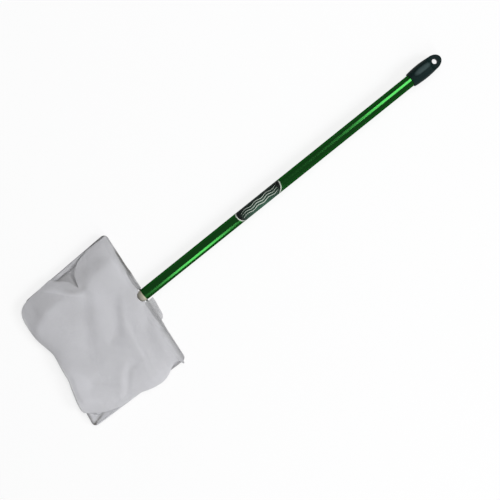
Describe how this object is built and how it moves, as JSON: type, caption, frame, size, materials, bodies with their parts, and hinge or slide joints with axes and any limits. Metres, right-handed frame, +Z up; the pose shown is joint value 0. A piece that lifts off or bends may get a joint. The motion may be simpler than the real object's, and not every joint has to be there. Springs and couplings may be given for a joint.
{
  "type": "pond net",
  "caption": "Long-handled pond net: tube pole with a hang cap, and a four-sided wire rim with a fine mesh bag folded flat over its mouth.",
  "frame": {"origin": "centre of the net's footprint, on the floor that it lies on", "axes": "+X along the pole towards the hang cap, +Z up out of the floor, mouth of the bag facing down"},
  "size_m": [0.8343, 0.2519, 0.0276],
  "materials": {
    "pole": "green anodised drawn tube, glossy",
    "cap": "black moulded plastic, satin",
    "label": null,
    "bung": "cream moulded plastic",
    "wire": "galvanised, dull grey",
    "mesh": "fine white nylon mesh, half see-through",
    "thread": "white sewing thread"
  },
  "bodies": {
    "root": {"pole_tube": "pole", "hang_cap": "cap", "pole_label": "label", "frame_bung": "bung", "rim_wire": "wire", "rim_hem": "mesh", "bag_front_panel": "mesh", "bag_back_panel": "mesh", "bag_seam": "thread"}
  },
  "joints": []
}
